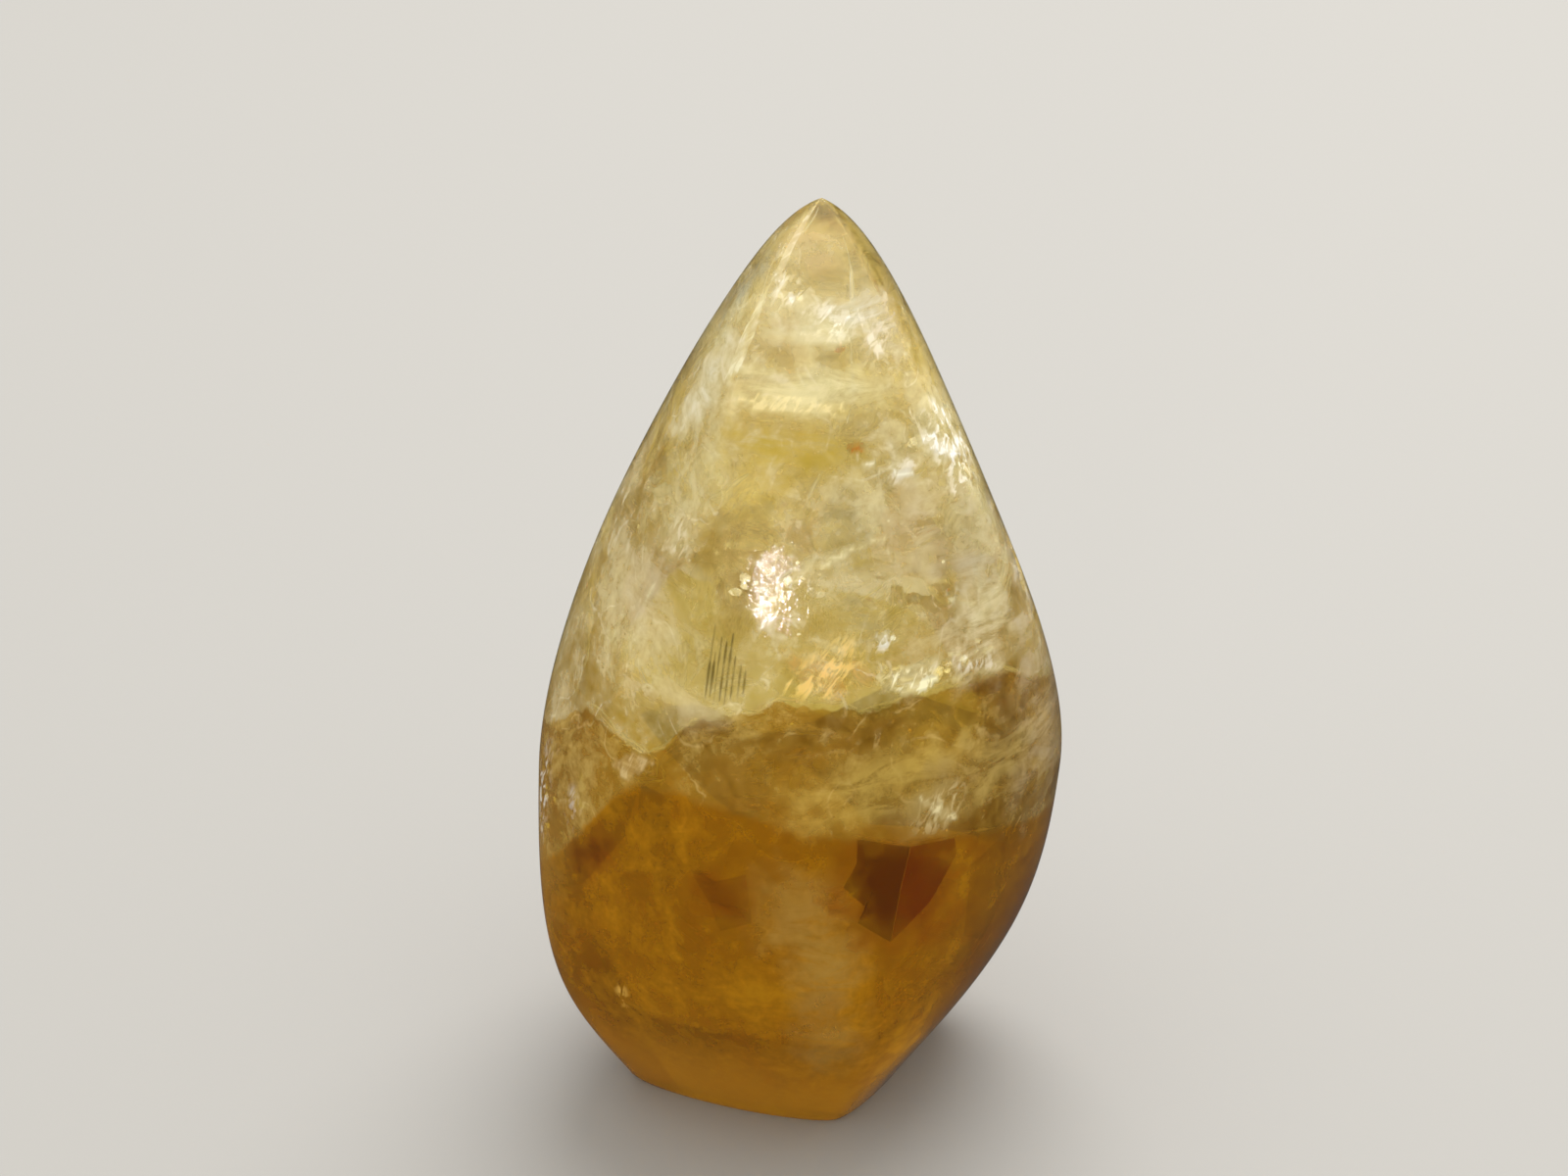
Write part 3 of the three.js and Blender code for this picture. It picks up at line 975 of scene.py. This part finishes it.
# Bright flakes: thin gaps in fresh cracks, which mirror the light. They lie in clusters: turn and height
# of the middle, spread across and up, count, smallest and largest size in millimetres, and tint.
SUNNY = (1.0, 0.90, 0.55)
ICY = (0.90, 0.95, 1.0)
ROSY = (0.98, 0.88, 0.78)
GOLD = (1.0, 0.72, 0.25)
FLAKE_CLUSTERS = [
    (50, 44.2, 1.3, 1.0, 22, 0.4, 1.5, WHITE),
    (60, 43.5, 0.8, 1.2, 10, 0.3, 1.0, ICY),
    (30, 31.1, 1.2, 0.4, 16, 0.4, 1.1, SUNNY),
    (21, 33.7, 0.3, 0.3, 5, 0.3, 0.8, ICY),
    (10, 50.6, 0.9, 0.3, 5, 0.6, 1.3, WHITE),
    (-40, 52.4, 0.2, 0.2, 3, 0.3, 0.7, WHITE),
    (-24, 51.5, 0.6, 0.1, 4, 0.3, 0.7, WHITE),
    (31, 50.0, 0.6, 0.9, 9, 0.2, 0.7, ROSY),
    (-12, 36.8, 1.5, 0.7, 22, 0.25, 0.9, WHITE),
    (2, 37.5, 1.0, 0.3, 9, 0.2, 0.5, WHITE),
    (46, 31.4, 1.4, 0.4, 14, 0.2, 0.7, WHITE),
    (52, 34.4, 0.8, 1.0, 8, 0.3, 0.8, ICY),
    (-80, 19.6, 0.3, 1.8, 10, 0.3, 0.8, WHITE),
    (-66, 20.4, 0.4, 1.0, 5, 0.4, 1.0, ICY),
    (-51, 38.1, 0.9, 0.6, 8, 0.2, 0.7, ROSY),
    (-48, 9.4, 0.2, 0.6, 4, 0.3, 0.7, GOLD),
    (74, 35.5, 0.5, 1.6, 10, 0.2, 0.6, ICY),
    (150, 41.0, 1.6, 1.2, 14, 0.3, 1.1, WHITE),
    (-135, 36.0, 1.2, 1.4, 12, 0.3, 1.0, WHITE),
    (110, 31.0, 1.2, 0.5, 12, 0.3, 0.9, SUNNY),
    (180, 27.0, 1.8, 0.5, 12, 0.3, 0.9, SUNNY),
]
GLINTS = 150
GLINT_HEIGHTS = (6, 52)
GLINT_SIZES = (0.12, 0.4)
PALE_FROM = 29
FLAKE_CORNERS = 6
FLAKE_LEAN = 32
FLAKE_LEAN_SPREAD = 14
FLAKE_TURN_SPREAD = 18
FLAKE_SHARES = (0.9, 0.965)
FROST_GRAIN = 0.3 * MM


def flake(sheets, turn, height, size, tint, draw):
    """A small ragged mirror, which mostly leans back to face the sky."""
    centre = inside(turn, height, draw.uniform(*FLAKE_SHARES))
    lean = math.radians(FLAKE_LEAN + draw.normal(0, FLAKE_LEAN_SPREAD))
    aim = turn * 0.5 if abs(turn) < 90 else turn
    facing = outward(aim + draw.normal(0, FLAKE_TURN_SPREAD))
    normal = facing * math.cos(lean) + Vector((0, 0, math.sin(lean)))
    level = Vector((-facing.y, facing.x, 0))
    upright = normal.cross(level)
    start = draw.uniform(0, 2 * math.pi)
    rim = []
    for corner in range(FLAKE_CORNERS):
        angle = start + 2 * math.pi * corner / FLAKE_CORNERS
        reach = size / 2 * draw.uniform(0.45, 1.1) * MM
        offset = level * math.cos(angle) + upright * math.sin(angle) * 0.8
        rim.append(kept_inside(centre + offset * reach))
    rim.append(rim[0])
    rim_fade = draw.uniform(0.3, 1.0)
    sheets.add([[centre] * len(rim), rim], tint, [[1.0] * len(rim), [rim_fade] * len(rim)])


def mirror_skin():
    """A mirror as bright as its tint, with a little frost."""
    material, start = new_material("mirror_skin")
    place = start.node("ShaderNodeTexCoord", output="Object")
    sockets = {
        "Base Color": start.kept("film", "Color"),
        "Metallic": 0.8,
        "Roughness": 0.1 + 0.3 * cloud(place, FROST_GRAIN, 3.0),
        "Alpha": start.kept("film", "Alpha"),
    }
    surface = start.node("ShaderNodeBsdfPrincipled", {}, sockets)
    start.node("ShaderNodeOutputMaterial", {}, {"Surface": surface})
    return material


flakes = Sheets()
draw = np.random.default_rng(21)
for turn, height, spread_across, spread_up, count, smallest, largest, tint in FLAKE_CLUSTERS:
    reach = (inside(turn, height, 1) - middle_at(height * MM)).length / MM
    for _ in range(count):
        at_turn = turn + math.degrees(draw.normal(0, spread_across) / reach)
        at_height = height + draw.normal(0, spread_up)
        flake(flakes, at_turn, at_height, draw.uniform(smallest, largest), tint, draw)
for number in range(GLINTS):
    height = draw.uniform(*GLINT_HEIGHTS)
    turn = draw.uniform(-180, 180)
    tint = WHITE if height > PALE_FROM else GOLD
    flake(flakes, turn, height, draw.uniform(*GLINT_SIZES), tint, draw)
show(flakes.mesh("bright_flakes"), mirror_skin())

# Healed threads: cracks that closed again and are seen from their edge, as fine pale lines in the quartz.
# Each follows turns in degrees and heights in millimetres just under the surface, with a width in
# millimetres, a tint and a density. Four threads paint a pale glint along the upper crack, and the painted
# ridge highlights, white lines along the ridges by the tip, lie closer to the surface than the rest.
PALE_TAN = (0.80, 0.62, 0.28)
THREADS_AND_PAINTED_GLINTS = [
    ([(-12, 37.0), (-4, 38.0), (13, 38.9), (30, 39.4)], 0.5, WHITE, 0.9),
    ([(-6, 40.5), (6, 43.8)], 0.22, WHITE, 0.8),
    ([(-3, 40.2), (8, 43.2)], 0.15, WHITE, 0.6),
    ([(-72, 41.1), (-54, 41.0), (-40, 40.7)], 0.4, WHITE, 0.8),
    ([(-40, 40.7), (-26, 42.7)], 0.3, WHITE, 0.8),
    ([(28, 43.3), (38, 42.5)], 0.6, WHITE, 1.0),
    ([(-56, 34.9), (-59, 33.0)], 0.35, WHITE, 1.2),
    ([(28, 21.4), (26, 19.3)], 0.2, PALE_TAN, 1.0),
    ([(13, 21.3), (24, 20.3)], 0.16, PALE_TAN, 0.9),
    ([(-28, 20.2), (-26, 19.8), (-21, 20.0)], 0.2, PALE_TAN, 0.9),
    # Painted glint: these four threads paint the pale glint along the edge of the upper crack.
    ([(-27, 29.4), (-13, 30.35), (-8, 31.05), (-4, 30.85), (9, 30.4), (14, 30.0)], 0.3, CREAM, 0.9),
    ([(14, 30.0), (27, 30.4), (41, 30.5), (59, 30.0), (71, 28.4)], 0.35, CREAM, 0.8),
    ([(-69, 26.5), (-56, 26.2), (-44, 25.8)], 0.35, CREAM, 1.0),
    ([(-44, 25.8), (-39, 26.6), (-33, 28.3), (-27, 29.5)], 0.3, CREAM, 1.0),
    ([(-39, 26.1), (-30, 28.3), (-12, 29.8), (2, 29.4)], 0.3, PALE_TAN, 0.7),
    ([(-38, 25.7), (-28, 27.7), (-12, 29.2), (6, 28.9)], 0.22, PALE_TAN, 0.6),
    ([(-76, 15.4), (-62, 19.6), (-51, 22.9), (-43, 24.1)], 0.35, PALE_TAN, 0.9),
    ([(12, 22.8), (26, 21.7), (41, 21.1), (58, 20.2)], 0.3, PALE_TAN, 1.0),
]
# Painted highlights: white lines along the crisp ridges by the tip.
PAINTED_RIDGE_HIGHLIGHTS = [
    ([(36, 54.4), (20, 49.9), (17, 46.4), (13, 45.1)], 0.24, WHITE, 1.2),
    ([(-19, 55.6), (-57, 52.9), (-44, 51.0), (-48, 48.5)], 0.2, WHITE, 1.2),
]
RIDGE_HIGHLIGHT_SHARE = 0.985
KNOT = (-48, 25.0)
KNOT_LOOPS = 9
KNOT_REACH = (0.5, 2.4)
LOOP_STOPS = 5
LOOP_STEP = 55
LOOP_WIDTH = 0.2
LOOP_DENSITY = 0.9
THREAD_SHARE = 0.955
THREAD_STEP = 0.2
THREAD_WAVER = 0.3
THREAD_EDGE_FADE = 0.2


def thread(sheets, stops, width, tint, body, share=THREAD_SHARE, wander=THREAD_WAVER):
    """A narrow ribbon that faces outwards, wavers a little and tapers at both ends."""
    key = Vector((stops[0][0], stops[0][1], width))
    path = []
    for (turn, height), (next_turn, next_height) in zip(stops, stops[1:]):
        start, end = inside(turn, height, 1), inside(next_turn, next_height, 1)
        steps = max(2, round((end - start).length / (THREAD_STEP * MM)))
        for step in range(steps):
            t = step / steps
            waver = noise.fractal(key + Vector((len(path) * THREAD_STEP * 0.4, 0, 0)), 1.0, 2.0, 3)
            at_turn = turn + (next_turn - turn) * t
            at_height = height + (next_height - height) * t + wander * waver
            path.append(inside(at_turn, at_height, share))
    left, right, fades = [], [], []
    for number, point in enumerate(path):
        ahead = path[min(number + 1, len(path) - 1)] - path[max(number - 1, 0)]
        away = point - middle_at(point.z)
        side = ahead.cross(away).normalized()
        t = number / (len(path) - 1)
        uneven = abs(noise.fractal(key + Vector((0, number * THREAD_STEP * 0.5, 0)), 1.0, 2.0, 2))
        body_here = 0.35 + 0.65 * uneven * 2
        taper = math.sin(math.pi * (0.04 + 0.92 * t)) ** 0.5
        half = width / 2 * MM * taper * min(1.3, 0.4 + body_here)
        left.append(point - side * half)
        right.append(point + side * half)
        fades.append(body * min(1, body_here))
    edges = [THREAD_EDGE_FADE * fade for fade in fades]
    sheets.add([left, path, right], tint, [edges, fades, edges])


# Feathers: tufts of short threads. Turn and height of the middle, length in millimetres, slope in
# degrees, number of threads, spacing in millimetres, and tint.
FEATHERS = [
    (33, 49.6, 3.0, 100, 9, 0.5, ROSY),
    (-66, 42.0, 3.5, -60, 8, 0.8, WHITE),
    (40, 42.0, 3.0, 30, 8, 0.7, WHITE),
    (52, 45.0, 2.6, -55, 12, 0.5, WHITE),
    (-20, 45.6, 5.0, 8, 8, 0.6, CREAM),
    (20, 36.0, 4.0, 25, 8, 0.9, CREAM),
    (-48, 31.0, 4.0, -40, 9, 0.9, WHITE),
    (60, 37.0, 4.0, 60, 10, 0.8, WHITE),
    (52, 25.0, 4.0, -20, 9, 0.9, PALE_TAN),
    (-10, 26.5, 6.0, 10, 8, 0.8, PALE_TAN),
    (-34, 20.5, 3.0, 60, 8, 0.6, PALE_TAN),
    (30, 12.5, 6.0, 35, 8, 1.2, GOLD),
    (-30, 13.0, 6.0, -30, 10, 1.4, GOLD),
    (60, 11.0, 6.0, 50, 8, 1.2, GOLD),
    (120, 40.0, 4.0, 40, 9, 0.9, WHITE),
    (165, 34.0, 5.0, -30, 10, 1.0, WHITE),
    (-150, 44.0, 4.0, 20, 9, 0.8, WHITE),
    (-110, 30.0, 4.0, -50, 10, 0.9, WHITE),
    (140, 22.0, 5.0, 15, 9, 1.0, PALE_TAN),
    (-160, 14.0, 6.0, 40, 10, 1.2, GOLD),
]
FEATHER_WAVER = 0.1


def feather(sheets, turn, height, length, slope, count, spacing, tint, draw):
    """A tuft of short threads side by side, which all run one way."""
    reach = (inside(turn, height, 1) - middle_at(height * MM)).length / MM
    slant = math.radians(slope)
    for number in range(count):
        offset = (number - count / 2) * spacing * 0.5 + draw.normal(0, 0.2)
        slip = draw.normal(0, 0.5)
        half = length * draw.uniform(0.2, 0.55)
        stops = []
        for end in (-half, 0, half):
            right = (end + slip) * math.cos(slant) - offset * math.sin(slant)
            up = (end + slip) * math.sin(slant) + offset * math.cos(slant)
            stops.append((turn + math.degrees(right / reach), height + up))
        width, body = draw.uniform(0.1, 0.24), draw.uniform(0.3, 0.8)
        thread(sheets, stops, width, tint, body, wander=FEATHER_WAVER)


threads = Sheets()
for stops, width, tint, strength in THREADS_AND_PAINTED_GLINTS:
    thread(threads, stops, width, tint, strength)
for stops, width, tint, strength in PAINTED_RIDGE_HIGHLIGHTS:
    thread(threads, stops, width, tint, strength, RIDGE_HIGHLIGHT_SHARE)
draw = np.random.default_rng(8)
for row in FEATHERS:
    feather(threads, *row, draw)
for _ in range(KNOT_LOOPS):
    reach = draw.uniform(*KNOT_REACH)
    start = draw.uniform(0, 360)
    stops = []
    for step in range(LOOP_STOPS):
        angle = math.radians(start + LOOP_STEP * step)
        stops.append((KNOT[0] + 6 * reach * math.cos(angle), KNOT[1] + 0.6 * reach * math.sin(angle)))
    thread(threads, stops, LOOP_WIDTH, CREAM, LOOP_DENSITY)
show(threads.mesh("threads_and_painted_glints"), plain_film())

# Growth lines: a short comb of dark hair cracks, upright and side by side, where the quartz grew in
# steps. They lie right under the polish on the front. Turn in degrees, then the lower and upper end in
# millimetres.
GROWTH_LINES = [
    (-27.6, 30.2, 34.9), (-26.3, 30.6, 33.4), (-25.0, 30.1, 34.3), (-23.4, 30.5, 34.1),
    (-21.9, 30.3, 34.6), (-20.4, 30.7, 33.4), (-18.6, 30.9, 33.2), (-17.2, 31.0, 32.8),
]
GROWTH_WIDTH = 0.18
GROWTH_TINT = (0.10, 0.055, 0.008)
GROWTH_DENSITY = 1.6
GROWTH_SHARE = 0.99
lines = Sheets()
for turn, low, high in GROWTH_LINES:
    ends = [(turn, low), (turn, high)]
    thread(lines, ends, GROWTH_WIDTH, GROWTH_TINT, GROWTH_DENSITY, share=GROWTH_SHARE, wander=0)
show(lines.mesh("growth_lines"), plain_film())

# Iron specks: small rusty grains of iron oxide that the quartz grew around, so they lie sealed in the
# stone a little under its surface. Turn in degrees, then height and width in millimetres.
SPECKS = [
    (17, 44.0, 1.0), (13, 49.0, 0.55), (-58.6, 33.1, 0.4), (62, 40.8, 0.4), (-10, 47.9, 0.25),
    (130, 38.0, 0.6), (-95, 31.0, 0.5), (-170, 45.0, 0.5), (44, 35.6, 0.25), (-33, 28.6, 0.2),
]
SPECK_DETAIL = 3
SPECK_SHARE = 0.945
SPECK_BUMPS = 0.45
SPECK_THICKNESS, SPECK_HEIGHT = 0.35, 0.6
RUST_GRAIN = 0.2 * MM
LIGHT_RUST = (0.62, 0.25, 0.03)


def speck(bm, turn, height, width):
    """A lumpy grain, flattened along the surface."""
    lump = bmesh.ops.create_icosphere(bm, subdivisions=SPECK_DETAIL, radius=1)
    centre = inside(turn, height, SPECK_SHARE)
    right, away, up = outward(turn + 90), outward(turn), Vector((0, 0, 1))
    for vertex in lump["verts"]:
        x, y, z = vertex.co
        bumps = 1 + SPECK_BUMPS * noise.fractal(vertex.co * 1.5 + Vector((turn, height, 0)), 1.0, 2.0, 3)
        offset = right * x + away * (SPECK_THICKNESS * y) + up * (SPECK_HEIGHT * z)
        vertex.co = kept_inside(centre + offset * (bumps * width / 2 * MM))


grains = bmesh.new()
for turn, height, width in SPECKS:
    speck(grains, turn, height, width)
speck_mesh = bpy.data.meshes.new("iron_specks")
grains.to_mesh(speck_mesh)
grains.free()
speck_mesh.shade_smooth()


def rust():
    """Dull iron oxide, brown to orange."""
    material, start = new_material("rust")
    place = start.node("ShaderNodeTexCoord", output="Object")
    shade = mixed(cloud(place, RUST_GRAIN), RUST, LIGHT_RUST)
    surface = start.node("ShaderNodeBsdfPrincipled", {}, {"Base Color": shade, "Roughness": 0.7})
    start.node("ShaderNodeOutputMaterial", {}, {"Surface": surface})
    return material


show(speck_mesh, rust())

# Floor: a plain pale studio floor, which carries the crystal and isn't part of it. Its mirror image is
# left out of the polish, because a bright floor there would grey the amber.
FLOOR_SIDE = 3.0
FLOOR_COLOUR = (0.235, 0.225, 0.205, 1)
half = FLOOR_SIDE / 2
floor_corners = [(-half, -half, 0), (half, -half, 0), (half, half, 0), (-half, half, 0)]
floor_mesh = bpy.data.meshes.new("floor")
floor_mesh.from_pydata(floor_corners, [], [(0, 1, 2, 3)])
floor = bpy.data.objects.new("floor", floor_mesh)
bpy.context.scene.collection.objects.link(floor)
floor_paint, start = new_material("floor")
surface = start.node("ShaderNodeBsdfPrincipled", {}, {"Base Color": FLOOR_COLOUR, "Roughness": 0.7})
start.node("ShaderNodeOutputMaterial", {}, {"Surface": surface})
floor_mesh.materials.append(floor_paint)
floor.visible_glossy = False
floor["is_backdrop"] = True

# Light: a plain soft room, bright overhead and dark below the level of the floor, with a large softbox
# above and behind, and a low lamp beside the camera, whose image in the polish is the one highlight.
BELOW_LEVEL, NEAR_LEVEL, OVERHEAD = (0.07, 0.07, 0.07), (0.2, 0.2, 0.2), (1.95, 1.95, 1.95)
world = bpy.data.worlds.new("room")
bpy.context.scene.world = world
world.use_nodes = True
world.cycles.sampling_method = "NONE"
sky = Wire(world.node_tree)
way = sky.node("ShaderNodeTexCoord", output="Generated")
rise = sky.node("ShaderNodeSeparateXYZ", {}, {"Vector": way}, "Z")
room = rise.ramp([(0.0, BELOW_LEVEL), (0.06, NEAR_LEVEL), (0.8, OVERHEAD)])
world.node_tree.links.new(room.socket, world.node_tree.nodes["Background"].inputs["Color"])


def softbox(name, azimuth, elevation, distance, width, height, power):
    """A flat oval lamp aimed at the crystal. Angles are in degrees, lengths in metres and power in watts."""
    lamp = bpy.data.lights.new(name, "AREA")
    lamp.shape = "ELLIPSE"
    lamp.size = width
    lamp.size_y = height
    lamp.energy = power
    stand = bpy.data.objects.new(name, lamp)
    bpy.context.scene.collection.objects.link(stand)
    turn, rise = math.radians(azimuth), math.radians(elevation)
    away = Vector((math.sin(turn) * math.cos(rise), -math.cos(turn) * math.cos(rise), math.sin(rise)))
    middle = Vector((0, 0, HEIGHT / 2))
    stand.location = middle + away * distance
    stand.rotation_euler = (-away).to_track_quat("-Z", "Y").to_euler()
    stand.visible_transmission = False


softbox("overhead", azimuth=160, elevation=60, distance=0.6, width=0.5, height=0.5, power=5)
softbox("front_lamp", azimuth=-9, elevation=11.2, distance=0.5, width=0.08, height=0.006, power=0.44)

# Camera: the photograph's viewing angle, with a long lens from a little above the stone. The light needs
# enough bounces to cross the clear quartz and all the films in it.
CAMERA_TARGET = Vector((0.15 * MM, 0, 31.39 * MM))
CAMERA_DISTANCE = 240 * MM
CAMERA_ELEVATION = math.radians(28)
CAMERA_LENS, SENSOR_WIDTH = 96, 36
CLOSEST_VIEW = 0.01
FILM_BOUNCES, GLASS_BOUNCES = 16, 12
view = bpy.data.cameras.new("camera")
view.lens = CAMERA_LENS
view.sensor_width = SENSOR_WIDTH
view.clip_start = CLOSEST_VIEW
camera = bpy.data.objects.new("camera", view)
bpy.context.scene.collection.objects.link(camera)
backwards = Vector((0, -math.cos(CAMERA_ELEVATION), math.sin(CAMERA_ELEVATION)))
camera.location = CAMERA_TARGET + backwards * CAMERA_DISTANCE
camera.rotation_euler = (-backwards).to_track_quat("-Z", "Y").to_euler()
bpy.context.scene.camera = camera
bpy.context.scene.view_settings.view_transform = "Standard"
bpy.context.scene.cycles.transparent_max_bounces = FILM_BOUNCES
bpy.context.scene.cycles.max_bounces = GLASS_BOUNCES
bpy.context.scene.cycles.transmission_bounces = GLASS_BOUNCES

boxes = {"cad": cad_box, "visual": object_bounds()}
{name: [list(corner) for corner in box] for name, box in boxes.items()}
